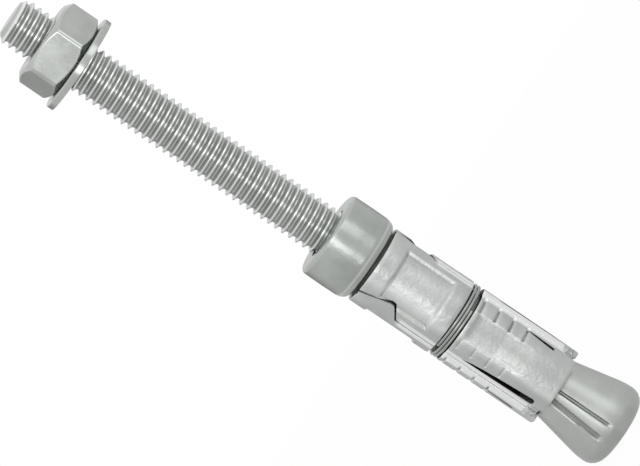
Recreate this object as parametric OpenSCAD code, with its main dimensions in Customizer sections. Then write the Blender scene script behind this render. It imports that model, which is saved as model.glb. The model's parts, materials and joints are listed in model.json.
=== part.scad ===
// Expansion bolt: a stud with a cone at its foot, three pressed shield segments held by a ferrule
// and a wire ring, and a nut and washer that draw the cone into the shield.
// The bolt stands on the flat end of its cone, its axis is +Z, and all lengths are millimetres.

/* [Stud] */
// Outside diameter of the stud's thread
thread_d = 6; // [5.6:0.1:6.2]
// Pitch of the thread
thread_pitch = 1; // [0.8:0.05:1.25]
// Depth of the thread
thread_depth = 0.5; // [0.3:0.05:0.6]
// Bevel at both ends of the stud
stud_bevel = 0.8; // [0.3:0.1:1.2]
// Bare stud between the ferrule and the washer
grip_len = 35; // [12:0.5:80]
// Stud that stands past the nut
tip_len = 4.5; // [2:0.1:12]

/* [Cone nut] */
// Largest diameter of the cone
cone_d = 10.48; // [10.3:0.02:11]
// Angle between the flank and the axis
cone_angle = 11.5; // [10.5:0.1:13]
// Rounding of the rim at the foot
cone_rim_r = 1.8; // [1:0.1:1.8]
// Straight land between the rim and the flank
cone_land = 1; // [0.6:0.1:2]
// Wall left round the thread at the cone's nose
nose_wall = 0.36; // [0.3:0.02:0.5]
// Depth of the grip grooves in the flank
groove_depth = 0.26; // [0.1:0.02:0.3]
// Width of each grip groove
groove_w = 0.45; // [0.3:0.05:0.6]
// Angle between the two grooves of a pair
groove_spread = 21.5; // [15:0.5:40]

/* [Shield] */
// Outside diameter of the shield
shield_d = 10.04; // [9.8:0.02:10.3]
// Wall of the shield at its mouth
mouth_wall = 1.1; // [0.9:0.01:1.2]
// Length from the mouth to the wire ring
lower_len = 13.6; // [12.8:0.1:18]
// Length from the wire ring to the shoulder
upper_len = 11.2; // [10.5:0.1:16]
// Diameter of the hole that the opened shield fills
hole_d = 12; // [11.6:0.1:12.4]

/* [Pressed forms] */
// Depth of the sunk panels
panel_depth = 0.4; // [0.1:0.05:0.5]
// Height of the upper panel
panel_h = 6.9; // [4:0.1:7.5]
// Half width of the upper panel, as an angle
panel_half = 42.6; // [30:0.2:46]
// Shoulder to the top of the upper panel
panel_drop = 2.2; // [1.5:0.1:2.6]
// Height of the lower panel, where its floor runs out
band_h = 8.4; // [6:0.1:9.5]
// Half width of the lower panel, as an angle
band_half = 22.8; // [15:0.2:28]
// Spacing of the teeth beside the lower panel
tooth_pitch = 2.05; // [1.6:0.05:2.4]
// Width of the notch between two teeth
tooth_gap = 0.45; // [0.3:0.05:0.6]
// Depth of the notch between two teeth
tooth_depth = 0.3; // [0.15:0.05:0.4]
// Widest part of the long relief slot
slot_w = 0.75; // [0.4:0.05:0.9]
// Length of the long relief slot
slot_len = 10; // [6:0.1:10.6]
// Mouth to the foot of the long relief slot
slot_foot = 1.6; // [1.2:0.1:2.4]
// Widest part of the short relief slot
short_slot_w = 0.4; // [0.3:0.05:0.6]
// Length of the short relief slot
short_slot_len = 4.2; // [3:0.1:6]
// Mouth to the foot of the short relief slot
short_slot_foot = 3; // [2:0.1:4]
// Reach of the locking tongue past the joint
tongue_reach = 1.85; // [1:0.05:2.2]
// Height of the locking tongue
tongue_h = 5.6; // [4:0.1:6]

/* [Ferrule] */
// Outside diameter of the ferrule
ferrule_d = 10.96; // [10.6:0.02:11.4]
// Length of the ferrule
ferrule_len = 6.3; // [5.4:0.1:9]
// Side wall of the ferrule
ferrule_wall = 0.93; // [0.7:0.01:1]
// End wall of the ferrule
ferrule_end = 0.9; // [0.6:0.05:1.2]
// Rounding of the ferrule's upper edge
ferrule_top_r = 0.6; // [0.2:0.05:0.85]
// Rounding of the ferrule's lower edge, along its wall
ferrule_low_r = 1.5; // [0.4:0.05:1.8]

/* [Wire ring] */
// Diameter of the wire
wire_d = 0.4; // [0.3:0.02:0.5]
// Turns of the wire
wire_turns = 2.2; // [1.2:0.1:2.6]

/* [Nut and washer] */
// Nut across its flats
nut_af = 10; // [9.5:0.1:11]
// Height of the nut
nut_h = 4.8; // [4:0.1:6.5]
// Nut's turn about the axis at rest
nut_turn = 44.4; // [0:0.2:60]
// Outside diameter of the washer
washer_d = 12.4; // [11.8:0.1:16]
// Thickness of the washer
washer_t = 0.9; // [0.8:0.1:2]
// Rounding of the punched washer's edges
washer_edge = 0.12; // [0.05:0.01:0.2]

/* [Clearances] */
// Stud in the threaded bores
thread_gap = 0.02; // [0.01:0.01:0.05]
// Stud in the nut, which turns on it
nut_gap = 0.05; // [0.02:0.01:0.08]
// Stud in the plain holes
hole_gap = 0.22; // [0.15:0.01:0.3]
// Cone in the mouth of the shield
seat_gap = 0.06; // [0.04:0.01:0.1]
// Between neighbouring segments
joint_gap = 0.1; // [0.06:0.01:0.16]
// Between the ferrule and the segments' shoulders
shoulder_gap = 0.35; // [0.2:0.05:0.5]
// Between the ferrule's end wall and the segments
end_gap = 0.15; // [0.1:0.01:0.25]
// Neck of the segments in the ferrule
neck_gap = 0.25; // [0.2:0.01:0.32]
// Wire ring in its groove
wire_gap = 0.07; // [0.05:0.01:0.12]
// Between the turns of the wire ring
coil_gap = 0.02; // [0.01:0.01:0.05]
// Nut over the washer
nut_seat = 0.02; // [0.01:0.01:0.05]

/* [Hidden] */
$fn = 96;
zinc = "silver";
past = 1;

// The front segment faces -Y, and the others follow a third of a turn apart.
segment_turn = 120;
front = 270;
joint_half = segment_turn / 2;

// Radii, from the axis outwards
stud_r = thread_d / 2;
thread_bore_r = stud_r + thread_gap;
bore_r = stud_r + hole_gap;
shield_r = shield_d / 2;
cone_r = cone_d / 2;
mouth_r = shield_r - mouth_wall;
nose_r = thread_bore_r + nose_wall;
ferrule_r = ferrule_d / 2;
ferrule_bore_r = ferrule_r - ferrule_wall;
neck_r = ferrule_bore_r - neck_gap;

// Heights above the foot: the shield's mouth sits where the cone nearly fills it.
slope = tan(cone_angle);
land_z = cone_rim_r + cone_land;
nose_z = land_z + (cone_r - nose_r) / slope;
mouth_z = land_z + (cone_r - mouth_r + seat_gap) / slope;
wire_pitch = wire_d + coil_gap;
ring_h = wire_turns * wire_pitch + wire_d;
ring_z = mouth_z + lower_len;
upper_z = ring_z + ring_h + 2 * wire_gap;
shoulder_z = upper_z + upper_len;
ferrule_z = shoulder_z + shoulder_gap;
ferrule_top = ferrule_z + ferrule_len;
neck_top = ferrule_top - ferrule_end - end_gap;
washer_z = ferrule_top + grip_len;
nut_z = washer_z + washer_t + nut_seat;
stud_len = nut_z + nut_h + tip_len;

// Opening of the shield: each segment hinges on its top end while the cone is drawn in.
draw = (hole_d / 2 - shield_r) / slope;
hinge_r = (bore_r + neck_r) / 2;
swing = atan((hole_d / 2 - shield_r) / (neck_top - mouth_z));
ring_spread = (neck_top - ring_z) * sin(swing);
wire_r = shield_r - wire_gap / 2 - wire_d / 2;
groove_r = wire_r - wire_d / 2 - wire_gap - ring_spread;

// Pressed forms: the tongue's middle lies this angle past the joint, the first tooth this far down
tongue_lead = asin(tongue_reach / 2 / shield_r);
tooth_lead = 0.6;

// Points of an arc about a centre, from one angle to another, with its two half axes
arc_steps = 10;
function arc(centre, across, along, from, to) =
    [for (i = [0 : arc_steps]) let (a = from + (to - from) * i / arc_steps)
        centre + [across * cos(a), along * sin(a)]];

// A part of a turned body, from one angle to another
module sector(from, to) {
    rotate([0, 0, from]) rotate_extrude(angle = to - from) children();
}

// A flat outline stood on edge, cut through the wall at one angle; its x runs along the surface
module radial_cut(angle, inner_r, outer_r) {
    rotate([0, 0, angle]) translate([inner_r, 0, 0]) rotate([90, 0, 90])
        linear_extrude(outer_r - inner_r) children();
}

// Stud

// A core with one helical ridge: its feet and crests are points along the helix, and a ring of
// points with a flat face closes each end
module stud() {
    sides = 12;
    root_r = stud_r - thread_depth;
    end_r = stud_r - stud_bevel;
    turns = floor((stud_len - stud_bevel) / thread_pitch) - 1;
    steps = sides * turns;
    start = (stud_len - (turns + 1) * thread_pitch) / 2;
    function at(i, r, z) = [r * cos(360 * i / sides), r * sin(360 * i / sides), z];
    function rise(i) = start + thread_pitch * i / sides;
    feet = [for (i = [0 : steps + sides]) at(i, root_r, rise(i))];
    crests = [for (i = [0 : steps]) at(i, stud_r, rise(i + sides / 2))];
    low_ring = [for (i = [0 : sides - 1]) at(i, end_r, 0)];
    top_ring = [for (i = [0 : sides - 1]) at(i, end_r, stud_len)];
    crest = len(feet);
    low = crest + len(crests);
    top = low + sides;
    flanks = [for (i = [0 : steps - 1]) each [
        [i, crest + i, crest + i + 1, i + 1],
        [crest + i, i + sides, i + sides + 1, crest + i + 1]]];
    bevels = [for (i = [0 : sides - 1]) let (next = (i + 1) % sides) each [
        [low + i, i, i + 1, low + next],
        [steps + i, top + i, top + next, steps + i + 1]]];
    thread_ends = [[low, sides, crest, 0], [top, steps, crest + steps, steps + sides]];
    flat_ends = [[for (i = [0 : sides - 1]) low + i], [for (i = [sides - 1 : -1 : 0]) top + i]];
    color(zinc) polyhedron(concat(feet, crests, low_ring, top_ring),
        concat(flanks, bevels, thread_ends, flat_ends));
}

// Cone nut

module cone_form() {
    rim = [cone_r - cone_rim_r, cone_rim_r];
    rotate_extrude() polygon(concat(
        [[thread_bore_r, 0]], arc(rim, cone_rim_r, cone_rim_r, -90, 0),
        [[cone_r, land_z], [nose_r, nose_z], [thread_bore_r, nose_z]]));
}

module grip_groove(angle) {
    flank = (nose_z - land_z) / cos(cone_angle);
    run_out = 0.9;
    rotate([0, 0, angle]) translate([cone_r, 0, land_z]) rotate([0, -cone_angle, 0])
        translate([-groove_depth, -groove_w / 2, -run_out])
            cube([groove_depth + past, groove_w, flank + run_out + past]);
}

module cone_nut() {
    first_groove = -7;
    color(zinc) difference() {
        cone_form();
        for (i = [0 : 2], side = [0, 1])
            grip_groove(front + i * segment_turn + first_groove - side * groove_spread);
    }
}

// Ferrule

module ferrule() {
    top_corner = [ferrule_r - ferrule_top_r, ferrule_top - ferrule_top_r];
    lip = 0.95 * ferrule_wall;
    low_corner = [ferrule_r - lip, ferrule_z + ferrule_low_r];
    color(zinc) rotate_extrude() polygon(concat(
        [[ferrule_bore_r, ferrule_z]], arc(low_corner, lip, ferrule_low_r, -90, 0),
        arc(top_corner, ferrule_top_r, ferrule_top_r, 0, 90),
        [[bore_r, ferrule_top], [bore_r, ferrule_top - ferrule_end],
         [ferrule_bore_r, ferrule_top - ferrule_end]]));
}

// Shield segments

// Section of a segment: mouth, ring groove, shoulder and the neck inside the ferrule
module segment_section() {
    polygon([
        [mouth_r, mouth_z], [shield_r, mouth_z], [shield_r, ring_z], [groove_r, ring_z],
        [groove_r, upper_z], [shield_r, upper_z], [shield_r, shoulder_z], [neck_r, shoulder_z],
        [neck_r, neck_top], [bore_r, neck_top], [bore_r, mouth_z + (mouth_r - bore_r) / slope]]);
}

// The locking tongue's outline: its side along the joint, grown by a clearance for its notch
module tongue_outline(grow) {
    tip_drop = 0.7 * tongue_h;
    tip_flat = 0.6;
    top_reach = 0.45 * tongue_reach;
    root = 0.3;
    root_drop = tongue_h + root * (tongue_h - tip_drop - tip_flat) / tongue_reach;
    x = -shield_r * sin(tongue_lead);
    z = shoulder_z;
    polygon([
        [x - root, z + grow], [x + top_reach + grow, z + grow],
        [x + tongue_reach + grow, z - tip_drop + grow],
        [x + tongue_reach + grow, z - tip_drop - tip_flat - grow],
        [x - root, z - root_drop - grow]]);
}

// A segment's tongue lies past one joint, pressed a little into the notch of the next segment
module tongue() {
    sink = 0.05;
    intersection() {
        sector(joint_half - tongue_lead, joint_half + 3 * tongue_lead)
            translate([bore_r + sink, shoulder_z - tongue_h - past])
                square([shield_r - bore_r - 2 * sink, tongue_h + past - sink]);
        radial_cut(joint_half + tongue_lead, 0, shield_r + past) tongue_outline(0);
    }
}

module tongue_notch() {
    radial_cut(tongue_lead - joint_half, bore_r / 2, shield_r + past) tongue_outline(joint_gap);
}

// Sunk panel of the upper half, with sloping upper and lower walls
module upper_panel() {
    top = shoulder_z - panel_drop;
    low = top - panel_h;
    floor_r = shield_r - panel_depth;
    sector(-panel_half, panel_half) polygon([
        [shield_r + past, low - past], [shield_r + past, top + past], [shield_r, top],
        [floor_r, top - panel_depth], [floor_r, low + panel_depth], [shield_r, low]]);
}

// Sunk panel of the lower half, whose floor rises to the surface towards the mouth
module lower_panel() {
    top = ring_z - tooth_lead;
    low = top - band_h;
    floor_r = shield_r - panel_depth;
    sector(-band_half, band_half) polygon([
        [shield_r + past, low], [shield_r + past, top + past], [shield_r, top],
        [floor_r, top - panel_depth], [floor_r, low + band_h / 2], [shield_r, low]]);
}

// Notches between the teeth: long on one side of the lower panel, short and shallow on the other
module tooth_notches() {
    long_end = joint_half - 5.3;
    short_end = band_half + 9;
    tooth_row(band_half, long_end, tooth_depth);
    mirror([0, 1, 0]) tooth_row(band_half, short_end, tooth_depth / 2);
}

module tooth_row(from, to, depth) {
    overlap = 1;
    for (i = [0 : 3]) {
        z = ring_z - tooth_lead - i * tooth_pitch;
        sector(from - overlap, to) polygon([
            [shield_r - depth, z], [shield_r + depth, z - tooth_gap], [shield_r + depth, z + tooth_gap]]);
    }
}

// Relief slots: a short one on the tongue's side, below the teeth, and a long one on the other
module relief_slots() {
    relief_slot(short_slot_w, short_slot_len, short_slot_foot);
    mirror([0, 1, 0]) relief_slot(slot_w, slot_len, slot_foot);
}

// A slot through the wall, round at its foot and drawn to a point that leans towards the joint
module relief_slot(width, length, foot) {
    slot_angle = 41;
    foot_z = mouth_z + foot + width / 2;
    run = length - width / 2;
    lean = 0.4 * width;
    radial_cut(slot_angle, bore_r / 2, shield_r + past) union() {
        polygon([
            [-width / 2, foot_z], [width / 2, foot_z], [width / 2 + lean, foot_z + run],
            [width / 2 + 0.7 * lean - 0.6 * width, foot_z + 0.7 * run]]);
        translate([0, foot_z]) circle(width / 2);
    }
}

// Seat for the cone's flank, as it lies in the segment once the shield is fully open
module open_seat() {
    translate([hinge_r, 0, neck_top]) rotate([0, swing, 0])
        translate([-hinge_r, 0, draw + land_z - neck_top])
            cylinder(h = nose_z - land_z, r1 = cone_r + seat_gap, r2 = nose_r + seat_gap);
}

module segment(place) {
    gap_half = asin(joint_gap / 2 / shield_r);
    edge = joint_half - gap_half;
    color(zinc) rotate([0, 0, front + place * segment_turn]) difference() {
        union() {
            sector(-edge, edge) segment_section();
            tongue();
        }
        tongue_notch();
        upper_panel();
        lower_panel();
        tooth_notches();
        relief_slots();
        open_seat();
    }
}

// Wire ring

// A coil of round wire, swept section by section from its lower end
module wire_ring() {
    sides = 8;
    steps = round(24 * wire_turns);
    lower_end = front + 18;
    low_z = ring_z + wire_gap + wire_d / 2;
    points = [for (i = [0 : steps], j = [0 : sides - 1])
        let (turn = i / steps * wire_turns, a = lower_end - 360 * turn, b = 360 * j / sides,
             r = wire_r + wire_d / 2 * cos(b))
        [r * cos(a), r * sin(a), low_z + wire_pitch * turn + wire_d / 2 * sin(b)]];
    walls = [for (i = [0 : steps - 1], j = [0 : sides - 1])
        let (k = (j + 1) % sides) [i * sides + j, i * sides + k, (i + 1) * sides + k, (i + 1) * sides + j]];
    ends = [[for (j = [sides - 1 : -1 : 0]) j], [for (j = [0 : sides - 1]) steps * sides + j]];
    color(zinc) polyhedron(points, concat(walls, ends));
}

// Nut and washer

module washer() {
    outer_r = washer_d / 2;
    edge = washer_edge;
    top = washer_z + washer_t;
    color(zinc) rotate_extrude() polygon([
        [bore_r, washer_z], [outer_r - edge, washer_z], [outer_r, washer_z + edge], [outer_r, top - edge],
        [outer_r - edge, top], [bore_r, top]]);
}

module hex_nut() {
    corner_r = nut_af / 2 / cos(30);
    crown_angle = 30;
    flat_r = 0.47 * nut_af;
    crown = (corner_r - flat_r) * tan(crown_angle);
    bore = stud_r + nut_gap;
    lead = 0.35;
    top = nut_z + nut_h;
    color(zinc) intersection() {
        rotate([0, 0, nut_turn]) translate([0, 0, nut_z]) cylinder(h = nut_h, r = corner_r, $fn = 6);
        rotate_extrude() polygon([
            [bore + lead, nut_z], [flat_r, nut_z], [corner_r, nut_z + crown], [corner_r, top - crown],
            [flat_r, top], [bore + lead, top], [bore, top - lead], [bore, nut_z + lead]]);
    }
}

stud();
cone_nut();
ferrule();
segment(0);  // segment_1
segment(1);  // segment_2
segment(2);  // segment_3
wire_ring();
washer();
hex_nut();
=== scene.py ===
# %% [markdown]
# # An expansion bolt in bright zinc
#
# A nut on a threaded stud draws a cone into a shield of three pressed segments. The segments spread
# and grip the wall of a drilled hole. Every part is steel, and all but the wire ring have a thin zinc
# plate, so shape and small edges do more for the picture than colour does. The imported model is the
# frame here: each piece below takes the place of one of its nodes and rides on the same body.

# %% Load the frame
import json
import math

import bmesh
import bpy
import numpy as np
from mathutils import Matrix, Vector

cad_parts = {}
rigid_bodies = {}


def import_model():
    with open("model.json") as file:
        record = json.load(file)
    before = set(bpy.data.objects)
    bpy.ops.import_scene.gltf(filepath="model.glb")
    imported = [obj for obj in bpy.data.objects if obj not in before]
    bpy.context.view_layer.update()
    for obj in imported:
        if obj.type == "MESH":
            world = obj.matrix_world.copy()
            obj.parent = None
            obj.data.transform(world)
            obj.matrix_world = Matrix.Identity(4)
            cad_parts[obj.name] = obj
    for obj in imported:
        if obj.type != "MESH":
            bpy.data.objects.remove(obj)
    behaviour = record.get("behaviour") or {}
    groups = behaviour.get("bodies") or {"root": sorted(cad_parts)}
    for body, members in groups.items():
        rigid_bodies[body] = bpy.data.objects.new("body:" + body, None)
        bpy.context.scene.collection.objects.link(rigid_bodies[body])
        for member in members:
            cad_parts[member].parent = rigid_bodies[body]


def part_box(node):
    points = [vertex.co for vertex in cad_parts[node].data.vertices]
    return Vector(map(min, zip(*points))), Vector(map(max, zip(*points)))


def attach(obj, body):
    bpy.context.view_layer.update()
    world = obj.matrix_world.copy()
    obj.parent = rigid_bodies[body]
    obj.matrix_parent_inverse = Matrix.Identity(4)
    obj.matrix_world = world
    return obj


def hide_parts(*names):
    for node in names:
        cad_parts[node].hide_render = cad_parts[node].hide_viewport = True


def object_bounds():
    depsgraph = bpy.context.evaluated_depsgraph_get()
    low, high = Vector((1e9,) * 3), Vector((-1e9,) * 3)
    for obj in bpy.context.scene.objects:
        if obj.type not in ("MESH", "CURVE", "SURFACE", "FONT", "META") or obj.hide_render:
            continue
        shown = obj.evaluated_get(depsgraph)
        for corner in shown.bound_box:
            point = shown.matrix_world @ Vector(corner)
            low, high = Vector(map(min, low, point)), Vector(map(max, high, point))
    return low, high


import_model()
MM = 0.001
cad_box = [list(corner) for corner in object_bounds()]
print("frame box in mm:", [[round(v / MM, 2) for v in corner] for corner in cad_box])

# %% [markdown]
# ## Sizes taken from the frame
#
# The heights of the pieces are read from the frame's own boxes, so the looks follow the construction
# if a length changes. Only the forms that the construction leaves plain have numbers of their own.

# %% Measure the frame
def heights(node):
    """Lowest and highest point of a node, in millimetres."""
    low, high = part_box(node)
    return low.z / MM, high.z / MM


def radius(node):
    """Outside radius of a round node, in millimetres."""
    low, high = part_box(node)
    return (high.x - low.x) / 2 / MM


stud_top, stud_r = heights("stud")[1], radius("stud")
mouth_z, neck_top = heights("segment_1")
ring_low, ring_top = heights("wire_ring")
ferrule_low, ferrule_top = heights("ferrule")
cone_nose = heights("cone_nut")[1]
print(f"stud {stud_top:.2f} long, shield {mouth_z:.2f} to {neck_top:.2f}")
print(f"ferrule {ferrule_low:.2f} to {ferrule_top:.2f}, cone up to {cone_nose:.2f}")

# %% [markdown]
# ## Bright zinc
#
# Zinc plate is a grey metal with a faint green-blue cast. It is neither a mirror nor matt: the plate
# copies the drawn or rolled steel under it and adds a fine grain of its own. The finish below is a
# metal whose roughness wanders with a soft noise, and whose grain is a small bump, drawn out along the
# axis on the ferrule and the cone. The noise reads Object coordinates, so it sits still when a body
# moves. Where a mesh stores a painted highlight, a brighter metal is mixed in as that highlight.

# %% Zinc finish
CLOUDS = 330  # soft noise cells per metre


def zinc(name, colour, rough, grain, stretch=(1, 1, 1), bump=0.1, deep=0.05):
    """A zinc plate: grain is noise cells per metre, stretch lengthens them, deep is their relief in mm."""
    mat = bpy.data.materials.new(name)
    mat.use_nodes = True
    nodes, links = mat.node_tree.nodes, mat.node_tree.links
    shader = nodes["Principled BSDF"]
    shader.inputs["Metallic"].default_value = 1.0
    place = nodes.new("ShaderNodeTexCoord")
    mapping = nodes.new("ShaderNodeMapping")
    mapping.inputs["Scale"].default_value = stretch
    links.new(place.outputs["Object"], mapping.inputs["Vector"])
    fine = nodes.new("ShaderNodeTexNoise")
    fine.inputs["Scale"].default_value = grain
    fine.inputs["Detail"].default_value = 4
    links.new(mapping.outputs["Vector"], fine.inputs["Vector"])
    cloud = nodes.new("ShaderNodeTexNoise")
    cloud.inputs["Scale"].default_value = CLOUDS
    cloud.inputs["Detail"].default_value = 3
    links.new(place.outputs["Object"], cloud.inputs["Vector"])
    wander = nodes.new("ShaderNodeMapRange")
    wander.inputs["To Min"].default_value = rough - 0.06
    wander.inputs["To Max"].default_value = rough + 0.1
    links.new(cloud.outputs["Fac"], wander.inputs["Value"])
    links.new(wander.outputs["Result"], shader.inputs["Roughness"])
    tint = nodes.new("ShaderNodeValToRGB")
    tint.color_ramp.elements[0].color = [c * 0.9 for c in colour] + [1]
    tint.color_ramp.elements[1].color = [min(c * 1.07, 1) for c in colour] + [1]
    tint.color_ramp.elements[0].position, tint.color_ramp.elements[1].position = 0.3, 0.7
    links.new(cloud.outputs["Fac"], tint.inputs["Fac"])
    links.new(tint.outputs["Color"], shader.inputs["Base Color"])
    relief = nodes.new("ShaderNodeBump")
    relief.inputs["Strength"].default_value = bump
    relief.inputs["Distance"].default_value = deep * MM
    links.new(fine.outputs["Fac"], relief.inputs["Height"])
    links.new(relief.outputs["Normal"], shader.inputs["Normal"])
    return mat


def mix_painted_highlight(mat, colour):
    """Mixes in a brighter metal, a painted highlight, as far as the mesh's own attribute gives it."""
    nodes, links = mat.node_tree.nodes, mat.node_tree.links
    base = nodes["Principled BSDF"].inputs["Base Color"]
    plate = base.links[0].from_socket
    painted_highlight = nodes.new("ShaderNodeAttribute")
    painted_highlight.attribute_name = "painted_highlight"
    mix = nodes.new("ShaderNodeMix")
    mix.data_type = "RGBA"
    links.new(painted_highlight.outputs["Fac"], mix.inputs["Factor"])
    links.new(plate, mix.inputs["A"])
    mix.inputs["B"].default_value = (*colour, 1)
    links.new(mix.outputs["Result"], base)


# Each brighter colour mixed in below is a painted highlight.
shield_zinc = zinc("shield_zinc", (0.55, 0.57, 0.555), 0.37, 1300, bump=0.5, deep=0.13)
mix_painted_highlight(shield_zinc, (0.95, 0.96, 0.955))
ferrule_zinc = zinc("ferrule_zinc", (0.46, 0.485, 0.465), 0.27, 800, (1, 1, 0.5), bump=0.4, deep=0.15)
mix_painted_highlight(ferrule_zinc, (0.8, 0.82, 0.81))
cone_zinc = zinc("cone_zinc", (0.47, 0.49, 0.47), 0.34, 1800, (1, 1, 0.2), bump=0.14)
# The next finish is painted shade for the floors of grooves.
painted_groove_shade = zinc("painted_groove_shade", (0.29, 0.3, 0.29), 0.45, 2400, bump=0.1)
stud_zinc = zinc("stud_zinc", (0.50, 0.515, 0.50), 0.26, 2600, bump=0.1)
mix_painted_highlight(stud_zinc, (0.86, 0.88, 0.87))
nut_zinc = zinc("nut_zinc", (0.49, 0.51, 0.49), 0.18, 2000, bump=0.1)
wire_steel = zinc("wire_steel", (0.40, 0.415, 0.40), 0.3, 2400, bump=0.08)
# The near-black finish is painted shade for the insides, the gaps and the tongue's edge.
painted_shade = zinc("painted_shade", (0.09, 0.09, 0.088), 0.5, 2400, bump=0.1)
print("finishes:", sorted(m.name for m in bpy.data.materials))

# %% [markdown]
# ## Trees for what follows a rule
#
# A thread and a coil repeat the same section along a helix, which is what Geometry Nodes are good at.
# A small class keeps the trees readable: sizes become named inputs, and each line of arithmetic adds
# one Math node. Every tree ends in Realize Instances and Set Material, and the result is turned into
# a plain mesh before it joins the frame.

# %% A tree with named sizes
class Rule:
    """A Geometry Nodes tree whose inputs are named sizes."""

    def __init__(self, name, **sizes):
        self.tree = bpy.data.node_groups.new(name, "GeometryNodeTree")
        face = self.tree.interface
        face.new_socket("Geometry", in_out="OUTPUT", socket_type="NodeSocketGeometry")
        self.ids, self.sizes = {}, sizes
        for label, value in sizes.items():
            kind = "NodeSocketInt" if isinstance(value, int) else "NodeSocketFloat"
            self.ids[label] = face.new_socket(label, in_out="INPUT", socket_type=kind).identifier
        self.given = self.tree.nodes.new("NodeGroupInput").outputs

    def __getitem__(self, label):
        return self.given[label]

    def node(self, kind, settings=(), **inputs):
        made = self.tree.nodes.new(kind)
        for key, value in settings:
            setattr(made, key, value)
        for key, value in inputs.items():
            self.put(made.inputs[key.replace("_", " ")], value)
        return made

    def put(self, socket, value):
        if isinstance(value, bpy.types.NodeSocket):
            self.tree.links.new(value, socket)
        else:
            socket.default_value = value

    def math(self, operation, *values):
        made = self.node("ShaderNodeMath", [("operation", operation)])
        for socket, value in zip(made.inputs, values):
            self.put(socket, value)
        return made.outputs[0]

    def helix_point(self, r, turn, z):
        """A point at radius r and height z, after so many turns."""
        angle = self.math("MULTIPLY", turn, math.tau)
        x = self.math("MULTIPLY", r, self.math("COSINE", angle))
        y = self.math("MULTIPLY", r, self.math("SINE", angle))
        return self.node("ShaderNodeCombineXYZ", X=x, Y=y, Z=z).outputs[0]

    def finish(self, geometry, material, sharp):
        angle = self.node("GeometryNodeInputMeshEdgeAngle").outputs["Unsigned Angle"]
        soft = self.node("FunctionNodeCompare", [("operation", "LESS_THAN")])
        self.put(soft.inputs[0], angle)
        self.put(soft.inputs[1], sharp)
        faces = self.node("GeometryNodeSetShadeSmooth", Geometry=geometry, Shade_Smooth=True)
        edges = self.node("GeometryNodeSetShadeSmooth", [("domain", "EDGE")], Geometry=faces.outputs[0])
        self.put(edges.inputs["Shade Smooth"], soft.outputs[0])
        real = self.node("GeometryNodeRealizeInstances", Geometry=edges.outputs[0])
        dressed = self.node("GeometryNodeSetMaterial", Geometry=real.outputs[0], Material=material)
        end = self.tree.nodes.new("NodeGroupOutput")
        self.tree.links.new(dressed.outputs[0], end.inputs[0])

    def make(self, name):
        """Runs the tree once and keeps the result as a plain mesh."""
        obj = bpy.data.objects.new(name, bpy.data.meshes.new(name))
        bpy.context.collection.objects.link(obj)
        rule = obj.modifiers.new(self.tree.name, "NODES")
        rule.node_group = self.tree
        for label, value in self.sizes.items():
            rule[self.ids[label]] = value
        done = obj.evaluated_get(bpy.context.evaluated_depsgraph_get())
        mesh = bpy.data.meshes.new_from_object(done)
        obj.modifiers.remove(rule)
        obj.data = mesh
        return obj


def join_frame(obj, node, body):
    """The piece stands for one node and rides on its body."""
    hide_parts(node)
    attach(obj, body)
    obj.data.calc_loop_triangles()
    size = [round(d / MM, 2) for d in obj.dimensions]
    print(f"{obj.name}: {len(obj.data.loop_triangles)} triangles, {size} mm")


# %% [markdown]
# ## The threaded stud
#
# The thread is rolled: its flanks are straight, and its crests carry a painted highlight. A thread made by
# texture goes flat at the outline, where the eye looks for it, so this one is real: a long strip of
# faces, one pitch wide, is wound into a right-hand helix whose turns share their edges. The ends are
# cut by limiting the radius with a bevel, and two discs close them.

# %% Wind the thread
thread = Rule("Rolled thread", Outer_radius=stud_r * MM, Root_radius=2.5 * MM, Pitch=1.0 * MM,
              Length=stud_top * MM, End_radius=(stud_r - 0.8) * MM, Start_turn=0.1, Steps_per_turn=40,
              Rows=13)
rows_less = thread.math("SUBTRACT", thread["Rows"], 1)
turns = thread.math("ADD", thread.math("DIVIDE", thread["Length"], thread["Pitch"]), 2)
steps = thread.math("CEIL", thread.math("MULTIPLY", turns, thread["Steps_per_turn"]))
strip = thread.node("GeometryNodeMeshGrid")
thread.put(strip.inputs["Vertices X"], steps)
thread.put(strip.inputs["Vertices Y"], thread["Rows"])
index = thread.node("GeometryNodeInputIndex").outputs[0]
step = thread.math("FLOOR", thread.math("DIVIDE", thread.math("ADD", index, 0.5), thread["Rows"]))
row = thread.math("SUBTRACT", index, thread.math("MULTIPLY", step, thread["Rows"]))
turn = thread.math("DIVIDE", step, thread["Steps_per_turn"])
across = thread.math("DIVIDE", row, rows_less)
print("thread strip:", thread.tree.name, "with inputs", list(thread.sizes))

# %% Shape the thread's ridge
away = thread.math("ABSOLUTE", thread.math("SUBTRACT", thread.math("MULTIPLY", across, 2), 1))
ridge = thread.node("ShaderNodeMapRange", [("interpolation_type", "LINEAR")], Value=away)
root_edge, crest_edge = 0.78, 0.17
for socket, value in (("From Min", root_edge), ("From Max", crest_edge)):
    ridge.inputs[socket].default_value = value
depth = thread.math("SUBTRACT", thread["Outer_radius"], thread["Root_radius"])
ridge_r = thread.math("MULTIPLY_ADD", ridge.outputs[0], depth, thread["Root_radius"])
pitches = thread.math("SUBTRACT", thread.math("ADD", turn, across), 1)
climb = thread.math("MULTIPLY", pitches, thread["Pitch"])
z = thread.math("MINIMUM", thread.math("MAXIMUM", climb, 0), thread["Length"])
near_end = thread.math("MINIMUM", z, thread.math("SUBTRACT", thread["Length"], z))
r = thread.math("MINIMUM", ridge_r, thread.math("ADD", thread["End_radius"], near_end))
wound = thread.node("GeometryNodeSetPosition", Geometry=strip.outputs["Mesh"],
                    Position=thread.helix_point(r, thread.math("ADD", turn, thread["Start_turn"]), z))
# A painted highlight along the crests, stored on the points for the finish.
crest = thread.math("MULTIPLY", thread.math("POWER", ridge.outputs[0], 4), 0.85)
highlight_stored = thread.node("GeometryNodeStoreNamedAttribute", Geometry=wound.outputs[0], Name="painted_highlight", Value=crest)
# The crest's wear named in the print below is this painted highlight.
print("ridge, climb, end bevel and the crest's wear set")

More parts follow.
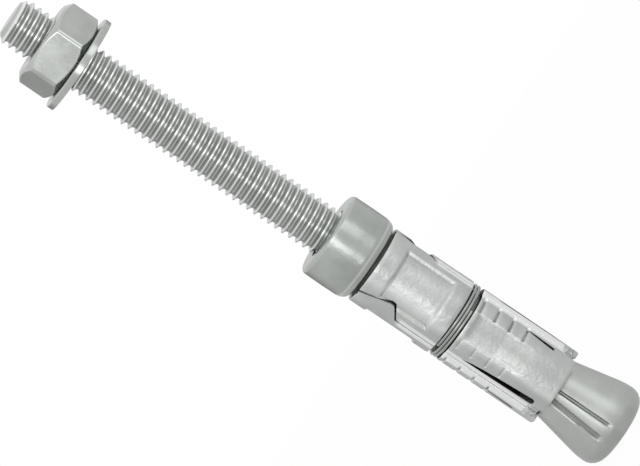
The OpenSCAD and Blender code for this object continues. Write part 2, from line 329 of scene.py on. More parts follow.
# %% Close the stud's ends
discs = []
for height in (0.0, thread["Length"]):
    disc = thread.node("GeometryNodeMeshCircle", [("fill_type", "NGON")], Radius=thread["End_radius"])
    thread.put(disc.inputs["Vertices"], thread["Steps_per_turn"])
    at = thread.node("ShaderNodeCombineXYZ", Z=height)
    moved = thread.node("GeometryNodeTransform", Geometry=disc.outputs[0], Translation=at.outputs[0])
    discs.append(moved.outputs[0])
foot_disc = thread.node("GeometryNodeFlipFaces", Mesh=discs[0])
whole = thread.node("GeometryNodeJoinGeometry")
for part in (highlight_stored.outputs[0], foot_disc.outputs[0], discs[1]):
    thread.tree.links.new(part, whole.inputs[0])
welded = thread.node("GeometryNodeMergeByDistance", Geometry=whole.outputs[0], Distance=0.004 * MM)
thread.finish(welded.outputs[0], stud_zinc, sharp=0.7)
join_frame(thread.make("threaded_stud"), "stud", "stud")

# %% [markdown]
# ## The wire ring
#
# One length of spring wire is wound just over two turns round the shield and lies flush in its groove.
# Its ends are cut square. A line of points is bent into the helix by the same rule as the thread, and
# a circle is swept along it with its ends filled.

# %% Wind the wire
wire_d, wire_pitch, wire_turns = 0.4, 0.42, 2.2
coil_r = radius("wire_ring") - wire_d / 2
coil = Rule("Wire coil", Coil_radius=coil_r * MM, Wire_radius=wire_d / 2 * MM, Pitch=wire_pitch * MM,
            Turns=wire_turns, Start_turn=288 / 360, Start_height=(ring_low + wire_d / 2) * MM, Points=160)
line = coil.node("GeometryNodeCurvePrimitiveLine")
dots = coil.node("GeometryNodeResampleCurve", Curve=line.outputs[0], Count=coil["Points"])
share = coil.node("GeometryNodeSplineParameter").outputs["Factor"]
gone = coil.math("MULTIPLY", share, coil["Turns"])
z = coil.math("MULTIPLY_ADD", gone, coil["Pitch"], coil["Start_height"])
at = coil.helix_point(coil["Coil_radius"], coil.math("SUBTRACT", coil["Start_turn"], gone), z)
bent = coil.node("GeometryNodeSetPosition", Geometry=dots.outputs[0], Position=at)
section = coil.node("GeometryNodeCurvePrimitiveCircle", Resolution=14, Radius=coil["Wire_radius"])
swept = coil.node("GeometryNodeCurveToMesh", Curve=bent.outputs[0], Profile_Curve=section.outputs[0],
                  Fill_Caps=True)
coil.finish(swept.outputs[0], wire_steel, sharp=0.9)
join_frame(coil.make("wire_ring_coil"), "wire_ring", "ferrule")

# %% [markdown]
# ## Turned and drawn rings
#
# The ferrule, the cone, the washer and the nut are all rings: a section swept round the axis. Each
# section is a short list of corners, and a corner may carry a fillet. Where the section changes on
# the way round, as the nut's corners and the cone's grooves do, the radius of each ring of points is
# worked out angle by angle before the faces are laid.

# %% Sections and rings
def fillet(corners):
    """A closed section from (r, z, fillet radius) corners, each rounded with a short arc."""
    out, count = [], len(corners)
    for i, (x, y, r) in enumerate(corners):
        here = np.array((x, y), float)
        if not r:
            out.append(here)
            continue
        a = np.array(corners[i - 1][:2]) - here
        b = np.array(corners[(i + 1) % count][:2]) - here
        a, b = a / np.linalg.norm(a), b / np.linalg.norm(b)
        half = math.acos(np.clip(a @ b, -1, 1)) / 2
        reach = r / math.tan(half)
        middle = here + (a + b) / np.linalg.norm(a + b) * r / math.sin(half)
        start, end = here + a * reach - middle, here + b * reach - middle
        for t in np.linspace(0, 1, 7):
            p = start * (1 - t) + end * t
            out.append(middle + p / np.linalg.norm(p) * r)
    return np.array(out)


def ring(name, r, z, angles, material, sharp):
    """A closed ring: r and z are tables of section point by angle, in millimetres."""
    points, count = r.shape
    xyz = np.stack([r * np.cos(angles), r * np.sin(angles), z + 0 * r], -1).reshape(-1, 3) * MM
    p, a = np.meshgrid(np.arange(points), np.arange(count), indexing="ij")
    up, on = (p + 1) % points, (a + 1) % count
    faces = np.stack([p * count + a, p * count + on, up * count + on, up * count + a], -1).reshape(-1, 4)
    return shell(name, xyz, faces, material, sharp)


def shell(name, xyz, faces, material, sharp):
    """A mesh from points and faces, its doubles merged, smooth but for its sharp edges."""
    mesh = bpy.data.meshes.new(name)
    mesh.from_pydata([tuple(v) for v in xyz], [], [tuple(int(i) for i in f) for f in faces])
    tool = bmesh.new()
    tool.from_mesh(mesh)
    bmesh.ops.remove_doubles(tool, verts=tool.verts, dist=1e-4 * MM)
    bmesh.ops.dissolve_degenerate(tool, edges=tool.edges, dist=1e-4 * MM)
    tool.to_mesh(mesh)
    tool.free()
    mesh.polygons.foreach_set("use_smooth", [True] * len(mesh.polygons))
    mesh.set_sharp_from_angle(angle=math.radians(sharp))
    mesh.materials.append(material)
    obj = bpy.data.objects.new(name, mesh)
    bpy.context.collection.objects.link(obj)
    return obj


def paint_shade_inside(obj, material, r_of):
    """Paints shade: gives the second finish, a dark one, to the faces that lie nearer the axis than r_of
    their height.
    """
    obj.data.materials.append(material)
    for face in obj.data.polygons:
        x, y, z = face.center
        if math.hypot(x, y) < r_of(z / MM) * MM:
            face.material_index = 1


def turned(name, corners, material):
    """A ring whose section is the same all the way round."""
    count, sharp = 128, 35
    section = fillet(corners)
    angles = np.linspace(0, math.tau, count, endpoint=False)
    same = np.ones(count)
    return ring(name, section[:, :1] * same, section[:, 1:] * same, angles, material, sharp)


print("section and ring helpers ready")

# %% [markdown]
# ## The ferrule
#
# The ferrule is a cup drawn from strip. Its lower lip is rolled in, its outer edge is soft, and the
# pierced end falls away a little towards its hole. Its wall is very slightly fuller in the middle, which
# bends the highlight and shows that it was drawn and not turned. A painted highlight runs round its lower
# lip, and the inside of the cup and its hole carry painted shade.

# %% Draw the ferrule
hole_r, bore_r, ferrule_r = 3.22, 4.55, radius("ferrule")
mid_z, cup_end = (ferrule_low + ferrule_top) / 2, 0.9
lip_w, lip_h = ferrule_r - bore_r - 0.06, 1.5
lip = [(ferrule_r - 0.03 - lip_w * (1 - math.sin(a)), ferrule_low + lip_h * (1 - math.cos(a)), 0)
       for a in np.linspace(0, math.pi / 2, 19)]
ferrule = turned("drawn_ferrule", [
    (bore_r, ferrule_low + 0.06, 0), *lip, (ferrule_r, mid_z, 12), (ferrule_r - 0.04, ferrule_top, 0.65),
    (hole_r + 0.3, ferrule_top - 0.02, 0.2), (hole_r, ferrule_top - 0.2, 0.1),
    (hole_r, ferrule_top - cup_end, 0), (bore_r, ferrule_top - cup_end, 0)], ferrule_zinc)
# Painted shade on the faces inside the cup and its hole.
paint_shade_inside(ferrule, painted_shade, lambda z: bore_r + 0.12 if z < ferrule_top - 0.85 else hole_r + 0.02)
# A painted highlight in a line round the lower lip, on the outside only.
line_height, line_fade = 0.87, 0.35
lip_highlight = ferrule.data.attributes.new("painted_highlight", "FLOAT", "POINT")
for vertex in ferrule.data.vertices:
    off_line = abs(vertex.co.z / MM - ferrule_low - line_height)
    outside = vertex.co.xy.length > (bore_r + 0.2) * MM
    lip_highlight.data[vertex.index].value = max(0.0, 0.6 - off_line / line_fade) * outside
join_frame(ferrule, "ferrule", "ferrule")

# %% [markdown]
# ## The washer and the nut
#
# The washer is punched, so one face has a soft edge and the other a crisp one. The nut is a hexagon
# cut by a cone at both ends, which leaves the curved tops of its six faces. Both forms come from one
# section per angle: the hexagon gives the radius, and the cone gives the height at which it starts.

# %% Punch the washer
washer_low, washer_top = heights("washer")
washer_r = radius("washer")
washer = turned("punched_washer", [
    (hole_r, washer_low, 0.06), (washer_r, washer_low, 0.08), (washer_r, washer_top, 0.22),
    (hole_r, washer_top, 0.12)], nut_zinc)
join_frame(washer, "washer", "washer")

# %% Form the nut
nut_low, nut_top = heights("hex_nut")
flats, face_turn = 10.0, math.radians(254.4)
angles = np.linspace(0, math.tau, 360, endpoint=False)
off = (angles - face_turn + math.pi / 6) % (math.pi / 3) - math.pi / 6
hexagon = flats / 2 / np.cos(off)
corner_r = flats / 2 / math.cos(math.pi / 6)
hexagon = np.minimum(hexagon, corner_r - 0.1 - 0.9 * (np.abs(off) - math.pi / 6) ** 2)
crown_r, crown_angle = 0.475 * flats, math.radians(35)
rise = np.maximum(hexagon - crown_r, 0) * math.tan(crown_angle)
flat_r = np.minimum(hexagon - 0.05, crown_r)
thread_r, lead = 3.06, 0.42
table = [(thread_r, nut_low + lead), (thread_r + lead, nut_low), (flat_r - 0.15, nut_low),
         (flat_r, nut_low + 0.02), (hexagon - 0.03, nut_low + rise + 0.02),
         (hexagon, nut_low + rise + 0.1), (hexagon, nut_low + rise + 0.2),
         (hexagon, nut_top - rise - 0.2), (hexagon, nut_top - rise - 0.1),
         (hexagon - 0.03, nut_top - rise - 0.02), (flat_r, nut_top - 0.02),
         (flat_r - 0.15, nut_top), (thread_r + lead, nut_top), (thread_r, nut_top - lead)]
r, z = (np.array([row[i] + 0 * angles for row in table]) for i in (0, 1))
nut = ring("hex_nut_body", r, z, angles, nut_zinc, sharp=22)
join_frame(nut, "hex_nut", "hex_nut")

# %% [markdown]
# ## The cone
#
# The cone is cold formed with a rounded rim. Pairs of shallow grooves run up its flank, one pair facing
# each segment, and stop it from turning in the shield. The grooves are part of the section table: at
# the angles that they cover, the flank's radius is smaller.

# %% Form the cone
cone_r, land_z, rim_r, nose_r, seat_r = radius("cone_nut"), 2.8, 1.8, 3.38, 3.02
cone_angle = math.radians(11.5)
groove_marks = [(270 + 120 * i - 7 - 21.5 * side, width)
                for i in range(3) for side, width in ((0, 0.36), (1, 0.66))]
beside = np.array((-7, -4.6, -3.6, -2.6, -1.3, 0, 1.3, 2.6, 3.6, 4.6, 7))
grid = np.concatenate([np.linspace(0, 360, 120, endpoint=False)] + [m + beside for m, _ in groove_marks])
angles = np.radians(np.unique(np.round(grid % 360, 2)))
section = fillet([(seat_r, 0, 0.12), (cone_r, 0, rim_r), (cone_r, land_z, 9), (nose_r, cone_nose, 0.1),
                  (seat_r, cone_nose, 0)])
flank = np.linspace(0, 1, 24)[:, None]
heels = section[(section[:, 0] > nose_r + 0.2) & (section[:, 1] > land_z - 0.4)]
start = heels[np.argmax(heels[:, 1])]
stop = np.array((nose_r + 0.1, cone_nose - 0.1 / math.tan(cone_angle)))
cut = int(np.argmax((section == start).all(1))) + 1
section = np.concatenate([section[:cut], start + (stop - start) * flank[1:-1], section[cut:]])
r, z = section[:, :1] + 0 * angles, section[:, 1:] + 0 * angles
print("cone section points:", len(section), "angles:", len(angles))

# %% Press the grooves in
groove_depth, groove_foot = 0.26, 2.2
for mark, width in groove_marks:
    side = np.abs((np.degrees(angles) - mark + 180) % 360 - 180) * math.pi / 180 * r
    across = np.clip((width / 2 + 0.08 - side) / 0.16, 0, 1)
    along = np.clip((z - groove_foot) / 0.5, 0, 1)
    outer = r > seat_r + 0.2
    r = np.where(outer, r - groove_depth * across * along, r)
cone = ring("grooved_cone", r, z, angles, cone_zinc, sharp=40)
# The groove floors take the darker finish: painted shade in the grooves.
cone.data.materials.append(painted_groove_shade)
for face in cone.data.polygons:
    x, y, high = face.center / MM
    out = math.hypot(x, y)
    for mark, width in groove_marks:
        turned_by = abs((math.degrees(math.atan2(y, x)) - mark + 180) % 360 - 180)
        on_floor = math.radians(turned_by) * out < width / 2
        if on_floor and groove_foot + 0.3 < high < cone_nose - 0.2 and out > seat_r + 0.05:
            face.material_index = 1
join_frame(cone, "cone_nut", "stud")

# %% [markdown]
# ## The pressed segments
#
# Each segment is a third of the shield, pressed from thick strip. Its upper half has a sunk panel, and
# a tongue that locks into a notch of the next segment. Its lower half has a sunk band with raised teeth
# beside it, and two tapered relief slots that let the wall bend as the cone is drawn in.
#
# A boolean for each form would leave long thin triangles that catch the light. The skin here is a
# table of rows and columns instead, laid close together wherever a form begins or ends. A rule gives
# the depth of the press at every point, so all the edges come out as soft as pressed steel.

# %% Rows and columns of the skin
shield_r, neck_r, groove_r, inner_r = 5.02, 4.30, 3.954, 3.22
ring_z, upper_z = ring_low - 0.07, ring_top + 0.07
shoulder_z = ferrule_low - 0.35
tooth_z = [ring_z - 0.6 - 2.05 * i for i in range(4)]
panel_low, panel_high, panel_half, band_half = shoulder_z - 9.1, shoulder_z - 2.2, 42.6, 22.8
slot_angle = 41.0
slots = {1: (0.4, 4.2, mouth_z + 3.0), -1: (0.75, 10.0, mouth_z + 1.6)}


def degrees_of(length):
    """Angle that an arc of this length takes on the shield's surface."""
    return np.degrees(np.asarray(length) / shield_r)


half_columns = [0, 5, 10, 14, 17, 18.3, 19, 20.5, 22.2, 22.8, 23.4, 25, 27.5, 30, 32.5, 34.5, 36.4, 37.2, 38,
                39.5, 41, 42.1, 43.1, 44, 45, 45.4]
rim_columns = [46.8, 47.5, 48.5, 50, 52, 53.5, 54.5, 55.2, 56.5, 57.8, 58.6, 59.1]
print(len(half_columns) + len(rim_columns), "columns on each side of a segment")

# %% [markdown]
# The joint between two segments is straight, apart from the tongue. One polyline gives the tongue's
# reach at each height, and the notch is the same line with the joint's clearance added.

# %% Tongue and slot outlines
tongue_line = np.array([
    (5.6, 0), (5.2, 0.72), (4.85, 1.31), (4.6, 1.68), (4.45, 1.8), (4.25, 1.85), (4.0, 1.84), (3.8, 1.81),
    (3.5, 1.73), (2.0, 1.33), (0, 0.83)])
tongue_h, tongue_reach = tongue_line[0, 0], tongue_line[:, 1].max()
joint_gap, half_reach = 0.1, tongue_reach / 2


def notch_gap(z):
    """Room round the tongue: little along its upper edge, most round its tip."""
    return np.interp(shoulder_z - z, (0, 3.3, 4.2, 5.6), (0.08, 0.1, 0.24, 0.12))


def reach(z, grow=0.0):
    """How far the tongue passes the joint at a height, in millimetres."""
    drop = shoulder_z - z
    drops = tongue_line[::-1, 0] + grow * np.linspace(0, 1, len(tongue_line))
    past = np.interp(drop, drops, tongue_line[::-1, 1] + grow, left=0, right=0)
    return past * (drop >= -1e-6) * (drop <= tongue_h + grow)


def slot_edges(z, sign):
    """Angles of a slot's edges at a height; past its ends they meet and drift to the plain columns."""
    width, length, foot = slots[sign]
    middle, top = foot + width / 2, foot + length
    share = (z - middle) / (top - middle)
    outer = width / 2 + 0.4 * width * np.clip(share, 0, 1)
    inner = outer - width * np.interp(share, (0, 0.4, 0.7, 0.88, 1), (1, 0.82, 0.6, 0.36, 0))
    if z < middle:
        outer = width / 2 * math.sqrt(1 - np.clip((middle - z) / (width / 2), 0, 1) ** 2)
        inner = -outer
    drift = np.clip(max(foot - z, z - top) / 1.2, 0, 1)
    inner, outer = (slot_angle + float(degrees_of(x)) for x in (inner, outer))
    return inner + (45.8 - inner) * drift, outer + (46.0 - outer) * drift


print(f"tongue reach {tongue_reach:.2f} mm")
print("slots, wide and long in mm:", [slot[:2] for slot in slots.values()])

# %% Heights of the rows
def around(z, *steps):
    return [z + s for s in steps]


set_rows = around(mouth_z, 0, 0.04, 0.12, 0.3, 0.55, 0.8, 1.05, 1.3) + around(ring_z, -0.16, -0.06, -0.02)
for width, length, foot in slots.values():
    foot_arc = np.linspace(0, math.pi / 2, 7)
    set_rows += [foot + width / 2 * (1 - math.cos(t)) for t in foot_arc] + [foot + length]
for z0 in tooth_z:
    set_rows += around(z0, -0.3, -0.22, -0.1, 0, 0.1, 0.22, 0.3)
between = [z for z in np.arange(mouth_z + 1.45, ring_z - 0.3, 0.4)
           if min(abs(z - s) for s in set_rows) > 0.11]
low_rows = sorted(set_rows + between)
high_rows = around(upper_z, 0.02, 0.06, 0.16, 0.6, 1.2, 1.7)
high_rows += around(panel_low, -0.06, 0.06, 0.22, 0.4, 0.52, 1, 1.6, 2.2, 2.8)
high_rows += around(panel_high, -0.52, -0.4, -0.22, -0.06, 0.06)
high_rows += around(shoulder_z, -5.7, -5.6, -5.5, -5.4, -3, -2.5, -1.2, -0.6, -0.16, -0.05)
high_rows = sorted(high_rows + list(shoulder_z - tongue_line[1:-1, 0]))
print(len(low_rows), "rows below the ring,", len(high_rows), "above it")

# %% [markdown]
# The press rule: every form is a depth below the plain round surface, and the deepest one counts. The
# mouth has small lifted lips beside the slots, where the strip was sheared, and the tongue is pushed in
# a little so that its edge shows in the notch.

# %% Depth of the press
panel_depth, band_depth, tooth_depths, tooth_ends = 0.4, 0.3, (0.32, 0.15), (55, 39)


def ramp(x):
    return np.clip(x, 0, 1)


def press_depth(psi, z):
    """Depth below the shield's surface at an angle from the segment's middle and a height."""
    a = np.abs(psi)
    arc = np.radians(1) * shield_r
    side_wall, end_wall = (panel_half - a) * arc / 0.28, np.minimum(panel_high - z, z - panel_low) / 0.36
    panel = panel_depth * ramp(np.minimum(side_wall, end_wall)) * (z > upper_z)
    fade = ramp((z - (tooth_z[0] - 8.4)) / 4.2)
    band_inset = np.minimum((band_half - a) * arc, tooth_z[0] + 0.05 - z)
    band = band_depth * ramp(band_inset / 0.38) * fade * (z < ring_z)
    notch = np.zeros_like(z)
    row_end, row_depth = np.where(psi > 0, *tooth_ends), np.where(psi > 0, *tooth_depths)
    run = ramp((a - band_half + 1) * arc / 0.1) * ramp((row_end - a) * arc / 0.12)
    for z0 in tooth_z:
        notch = np.maximum(notch, row_depth * ramp(1 - np.abs(z - z0) / 0.24) * run)
    above = z - mouth_z
    strip = ramp((a - 46) * arc / 0.1) * (z < ring_z)
    lip = strip * (0.26 * ramp(1 - np.abs(above - 1.75) / 0.24) + 0.3 * ramp(1 - above / 0.5))
    lip = lip + 0.3 * ramp(1 - np.abs(a - 47.3) * arc / 0.16) * ramp(1 - (above - 0.3) / 0.4)
    lumps = 0.1 * strip * ramp((1.7 - above) / 0.3) * (1 + np.sin(0.9 * a + 5 * above) * np.cos(4 * above))
    sag = 0.28 * ramp((a - 47) / 13) * (z < ring_z)
    sunk = 0.3 * ramp((psi - 60) * arc / 1.3) * ramp((shoulder_z - z) / 3) * (z > upper_z)
    return np.maximum.reduce([panel, band, notch, lip, sunk]) + lumps + sag


panel_middle = np.array((panel_low + panel_high) / 2)
print("press depth at the panel's middle:", float(press_depth(np.array(0.0), panel_middle)))

# %% Inside of a segment
slope, swing = math.tan(cone_angle), math.radians(1.762)
seat_at_mouth, spread = 3.92, 0.98


def inside(psi, z):
    """Radius of the bore, with the seat that the cone takes when the shield is fully open."""
    closed = seat_at_mouth - slope * (z - mouth_z)
    opened = closed + spread - (neck_top - z) * math.tan(swing) * np.cos(np.radians(psi))
    return np.maximum(np.maximum(closed, opened * (z < mouth_z + 8)), inner_r)


print("wall at the mouth:", round(shield_r - float(inside(np.array(0.0), np.array(mouth_z))), 3), "mm")

# %% [markdown]
# The table is filled row by row. The columns beyond the slots move with the joint's outline, and the
# columns inside the slots move with the slanting edge, so every outline is followed exactly. Two more
# rows make the ring's groove, and the last ones make the shoulder and the neck in the ferrule. The top
# of the tongue is lowered a little, so that it clears the neck of the next segment.

# %% Fill the table of points
def segment_rows():
    """(height, outside radius or none for the pressed surface, straight sides) for every row."""
    rows = [(z, None, False) for z in low_rows] + [(ring_z, groove_r, True), (upper_z, groove_r, True)]
    rows += [(z, None, False) for z in high_rows]
    rows += [(shoulder_z, shield_r - 0.07, False), (shoulder_z, neck_r, True)]
    rows += [(z, neck_r, True) for z in np.linspace(shoulder_z + 1, neck_top - 0.1, 5)]
    return rows + [(neck_top, neck_r - 0.1, True)]


def side_columns(z, sign, straight):
    """Angles of one side's columns at a height, from the middle to the joint."""
    gap = float(degrees_of(joint_gap / 2))
    edge = 60 - gap
    past = 0 if straight else reach(z) if sign > 0 else reach(z, notch_gap(z))
    if past > 0:
        swept = math.degrees(math.asin(half_reach / shield_r) + math.asin((past - half_reach) / shield_r))
        edge = max(edge, 60 + swept) if sign > 0 else min(edge, 60 - swept)
    inner, outer = slot_edges(z, sign)
    near = np.array(half_columns + [45.8])
    near = np.where(near > 30, 30 + (near - 30) * (inner - 30) / 15.8, near)
    shift = (edge - outer) / (60 - gap - 46.0)
    far = outer + (np.array([46.0] + rim_columns) - 46.0) * shift
    soft = edge - degrees_of(np.array((0.14, 0.05, 0.0)))
    return np.minimum(np.concatenate([near, far, soft]), edge)


def columns_of(z, straight):
    left, right = side_columns(z, -1, straight), side_columns(z, 1, straight)
    return np.concatenate([-left[:0:-1], right])


rows = segment_rows()
psi = np.array([columns_of(z, straight) for z, _, straight in rows])
height = np.array([z for z, _, _ in rows])[:, None] + 0 * psi
print("table of", psi.shape, "points on each skin")

# %% Press the skin
plain = np.array([r is None for _, r, _ in rows])[:, None]
fixed = np.array([0.0 if r is None else r for _, r, _ in rows])[:, None]
edge_room = np.minimum(psi - psi[:, :1], psi[:, -1:] - psi) * math.pi / 180 * shield_r
round_edge = 0.07 * ramp(1 - edge_room / 0.14) ** 2
low_ends = np.minimum(height - mouth_z, np.abs(height - ring_z))
high_ends = np.minimum(np.abs(height - upper_z), np.abs(shoulder_z - height))
round_rows = 0.08 * ramp(1 - low_ends / 0.16) ** 2 + 0.08 * ramp(1 - high_ends / 0.16) ** 2
skin = np.where(plain, shield_r - press_depth(psi, height) - round_edge - round_rows, fixed)
lift = 0.4 * ramp((np.abs(psi) - 46.2) / 1.2) * ramp(1 - (height - mouth_z) / 1.2)
height = height + lift
top_strip, lowered = 0.16, 0.5 * ramp((psi - 59.6) / 0.9)
height = height - lowered * np.clip(height - (shoulder_z - top_strip), 0, top_strip)
lining = inside(psi, height)
skin = np.where(plain, np.maximum(skin, lining + 0.12), skin)
print(f"skin from {skin.min():.2f} to {skin.max():.2f} mm from the axis")

# %% Faces of a segment
count_rows, count_columns = psi.shape
slot_at = len(half_columns) + 1
middle = count_columns // 2
keep = np.ones((count_rows - 1, count_columns - 1), bool)
for sign, column in ((1, middle + slot_at - 1), (-1, middle - slot_at)):
    _, length, foot = slots[sign]
    in_slot = (height[:-1, middle] > foot - 1e-6) & (height[1:, middle] < foot + length + 1e-6)
    keep[in_slot, column] = False


def skin_faces():
    """Outer and inner quads, and the walls that join them wherever the skin ends."""
    total, faces = count_rows * count_columns, []
    at = lambda k, c: k * count_columns + c
    for k, c in zip(*np.nonzero(keep)):
        corners = [at(k, c), at(k, c + 1), at(k + 1, c + 1), at(k + 1, c)]
        faces += [corners, [v + total for v in corners[::-1]]]
        for i, (dk, dc) in enumerate(((-1, 0), (0, 1), (1, 0), (0, -1))):
            near = (k + dk, c + dc)
            inside_table = 0 <= near[0] < keep.shape[0] and 0 <= near[1] < keep.shape[1]
            if not (inside_table and keep[near]):
                a, b = corners[i], corners[(i + 1) % 4]
                faces.append([b, a, a + total, b + total])
    return faces


faces = skin_faces()
print(len(faces), "faces in each segment")

# %% [markdown]
# Painted highlights finish a segment. The strips beside the joints are painted nearly white, and the
# panel's floor, one wall of the panel and of the band, and part of the front get a weaker painted
# highlight. The finish reads this from a value stored on the points. The tongue's edge gets a near-black
# painted shade, and the floor of the ring's groove a lighter painted shade.

# %% Painted highlights and shade
def angle_and_height(point, number):
    """Angle from the segment's middle in degrees, and height in millimetres."""
    turned_by = math.degrees(math.atan2(point.y, point.x)) - 270 - 120 * number
    return (turned_by + 180) % 360 - 180, point.z / MM


# Painted highlights: strips beside the joints nearly white, and weaker ones on the panel, two walls and the
# front.
def paint_highlights(obj, number):
    painted_highlight = obj.data.attributes.new("painted_highlight", "FLOAT", "POINT")
    for vertex in obj.data.vertices:
        a, z = angle_and_height(vertex.co, number)
        low = 0.95 * ramp((abs(a) - 46.5) / 2.5) * ramp((z - mouth_z - 1.6) / 0.3) * (z < ring_z + 0.01)
        high = 0.9 * ramp((abs(a) - 50) / 3) * (upper_z - 0.01 < z < shoulder_z - 5.7)
        in_panel = panel_low + 0.2 < z < panel_high - 0.2
        panel = (0.12 + 0.45 * ramp(1 - abs(a + 21) / 16)) * ramp((38 - abs(a)) / 2) * in_panel
        wall = 0.42 * ramp(1 - abs(a - panel_half + 1.4) / 1.8) * in_panel
        band = 0.48 * ramp(1 - abs(a - band_half + 1.2) / 1.8) * (tooth_z[3] - 1.5 < z < tooth_z[0])
        crown, half = (-26, 13) if z > upper_z else (-21, 9)
        front_highlight = 0.45 * ramp(1 - abs(a - crown) / half)
        painted_highlight.data[vertex.index].value = max(low, high, panel, wall, band, front_highlight)


# Painted shade: a near-black strip along the tongue's edge, dark as the gap beside it.
def paint_tongue_shade(obj, number):
    for face in obj.data.polygons:
        a, z = angle_and_height(face.center, number)
        if a > 60.3 and z > upper_z and float(side_columns(z, 1, False)[-1]) - a < degrees_of(0.13):
            face.material_index = 1


def paint_groove_shade(obj):
    """The floor of the ring's groove gets a lighter painted shade than the rest of the inside."""
    obj.data.materials.append(painted_groove_shade)
    for face in obj.data.polygons:
        if ring_z < face.center.z / MM < upper_z and abs(face.center.xy.length / MM - groove_r) < 0.05:
            face.material_index = 2


# The print below lists where highlights and shade are painted.
print("wear: strips beyond 46 degrees, panel, walls and the tongue's edge")

# %% Place the three segments
for number in range(3):
    turn = np.radians(psi + 270 + 120 * number)
    skins = [np.stack([r * np.cos(turn), r * np.sin(turn), height], -1).reshape(-1, 3)
             for r in (skin, lining)]
    name = f"segment_{number + 1}"
    segment = shell(f"pressed_{name}", np.concatenate(skins) * MM, faces, shield_zinc, sharp=38)
    # Painted shade inside, a lighter painted shade on the ring groove's floor, painted highlights, then
    # painted shade on the tongue's edge.
    paint_shade_inside(segment, painted_shade, lambda z: 4.5 if z > ring_z - 0.1 else 4.3)
    paint_groove_shade(segment)
    paint_highlights(segment, number)
    paint_tongue_shade(segment, number)
    join_frame(segment, name, name)

# %% [markdown]
# ## Floor, light and camera
#
# The bolt stands on a round pale floor. Metal is drawn by what it reflects, so the world is a little
# brighter above and towards +X, and shaded low on the far side, and the floor is darker in reflections
# than to the camera: both darken the edges that are seen at a glancing angle. A tall soft box near the
# camera gives the long highlight, and a second one fills the other side. Rays from the camera see plain
# white behind the bolt.

# %% Floor
def pale_floor():
    """Nearly white to the camera, and darker in what the metal reflects."""
    glow_share, dimming = 0.94, 0.3
    mat = bpy.data.materials.new("pale_floor")
    mat.use_nodes = True
    nodes, links = mat.node_tree.nodes, mat.node_tree.links
    shader = nodes["Principled BSDF"]
    shader.inputs["Base Color"].default_value = (0.86, 0.86, 0.86, 1)
    shader.inputs["Roughness"].default_value = 0.9
    glow = nodes.new("ShaderNodeEmission")
    rays = nodes.new("ShaderNodeLightPath")
    dimmed = nodes.new("ShaderNodeMath")
    dimmed.operation = "MULTIPLY_ADD"
    dimmed.inputs[1].default_value, dimmed.inputs[2].default_value = -dimming, 1.0
    links.new(rays.outputs["Is Glossy Ray"], dimmed.inputs[0])
    links.new(dimmed.outputs[0], glow.inputs["Strength"])
    seen = nodes.new("ShaderNodeMath")
    seen.operation = "MAXIMUM"
    links.new(rays.outputs["Is Camera Ray"], seen.inputs[0])
    links.new(rays.outputs["Is Glossy Ray"], seen.inputs[1])
    share = nodes.new("ShaderNodeMath")
    share.operation = "MULTIPLY"
    share.inputs[1].default_value = glow_share
    links.new(seen.outputs[0], share.inputs[0])
    mix = nodes.new("ShaderNodeMixShader")
    links.new(share.outputs[0], mix.inputs[0])
    links.new(shader.outputs[0], mix.inputs[1])
    links.new(glow.outputs[0], mix.inputs[2])
    links.new(mix.outputs[0], nodes["Material Output"].inputs["Surface"])
    return mat


floor_z = cad_box[0][2]
bpy.ops.mesh.primitive_circle_add(vertices=96, radius=0.28, fill_type="NGON", location=(0, 0, floor_z))
floor = bpy.context.object
floor.name = "floor"
floor.data.materials.append(pale_floor())
print("floor at", round(floor.location.z / MM, 3), "mm")

# %% World
world = bpy.data.worlds.new("studio")
bpy.context.scene.world = world
world.use_nodes = True
nodes, links = world.node_tree.nodes, world.node_tree.links
away = nodes.new("ShaderNodeTexCoord")
parts = nodes.new("ShaderNodeSeparateXYZ")
links.new(away.outputs["Generated"], parts.inputs[0])


def graded(axis, start, stop, low, high):
    """Goes evenly from low to high while the direction's part along an axis goes from start to stop."""
    made = nodes.new("ShaderNodeMapRange")
    for socket, value in zip(("From Min", "From Max", "To Min", "To Max"), (start, stop, low, high)):
        made.inputs[socket].default_value = value
    links.new(parts.outputs[axis], made.inputs["Value"])
    return made.outputs["Result"]


def combined(operation, first, second):
    made = nodes.new("ShaderNodeMath")
    made.operation = operation
    links.new(first, made.inputs[0])
    links.new(second, made.inputs[1])
    return made.outputs[0]


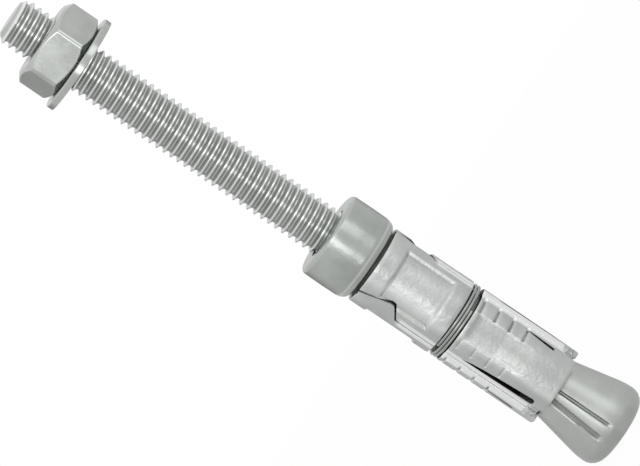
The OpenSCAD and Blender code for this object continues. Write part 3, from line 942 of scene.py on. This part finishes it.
side, rise = graded("X", -0.75, 0.85, 0.78, 0.86), graded("Z", 0.0, 0.35, 0.0, 0.14)
far, over = graded("Y", 0.6, 0.95, 1.0, 0.4), graded("Z", -0.02, 0.07, 0.0, 1.0)
shaded = combined("MULTIPLY", combined("ADD", side, rise), combined("MAXIMUM", far, over))
rays = nodes.new("ShaderNodeLightPath")
behind = nodes.new("ShaderNodeMix")
behind.data_type = "FLOAT"
links.new(rays.outputs["Is Camera Ray"], behind.inputs["Factor"])
links.new(shaded, behind.inputs["A"])
behind.inputs["B"].default_value = 1.0
links.new(behind.outputs["Result"], nodes["Background"].inputs["Strength"])
nodes["Background"].inputs["Color"].default_value = (1, 1, 1, 1)
print("world brighter above and towards +X, shaded low on the far side")

# %% Camera
azimuth, elevation, roll = math.radians(-6), math.radians(6), math.radians(55.82)
back = Vector((math.sin(azimuth) * math.cos(elevation), -math.cos(azimuth) * math.cos(elevation),
               math.sin(elevation)))
level = Vector((math.cos(azimuth), math.sin(azimuth), 0))
upright = back.cross(level)
right = level * math.cos(roll) - upright * math.sin(roll)
up = level * math.sin(roll) + upright * math.cos(roll)
aim = Vector((0, 0, 43.1 * MM)) - level * 0.45 * MM
wide, distance = 75.68 * MM, 0.9
lens = bpy.data.cameras.new("camera")
lens.sensor_width = 36
lens.lens = 36 * distance / wide
lens.clip_start, lens.clip_end = 0.01, 20
camera = bpy.data.objects.new("camera", lens)
bpy.context.collection.objects.link(camera)
turn = Matrix((right, up, back)).transposed().to_4x4()
camera.matrix_world = Matrix.Translation(aim + back * distance) @ turn
bpy.context.scene.camera = camera
print(f"camera {distance} m away, {lens.lens:.0f} mm lens")

# %% Lamps
lamp_distance, lamp_aim = 0.7, Vector((0, 0, 0.045))


def soft_box(name, azimuth, rise, width, height, watts):
    """A soft box that faces the bolt, turned so many degrees from the front."""
    data = bpy.data.lights.new(name, "AREA")
    data.shape = "RECTANGLE"
    data.size, data.size_y, data.energy = width, height, watts
    lamp = bpy.data.objects.new(name, data)
    bpy.context.collection.objects.link(lamp)
    side = math.radians(azimuth)
    direction = Vector((math.sin(side), -math.cos(side), rise)).normalized()
    lamp.location = lamp_aim + direction * lamp_distance
    lamp.rotation_mode = "QUATERNION"
    lamp.rotation_quaternion = direction.to_track_quat("Z", "Y")


soft_box("key", -13.5, 0.25, 0.2, 0.9, 1.1)
soft_box("fill", 38, 0.12, 0.32, 0.5, 0.38)
bpy.context.scene.view_settings.view_transform = "Standard"
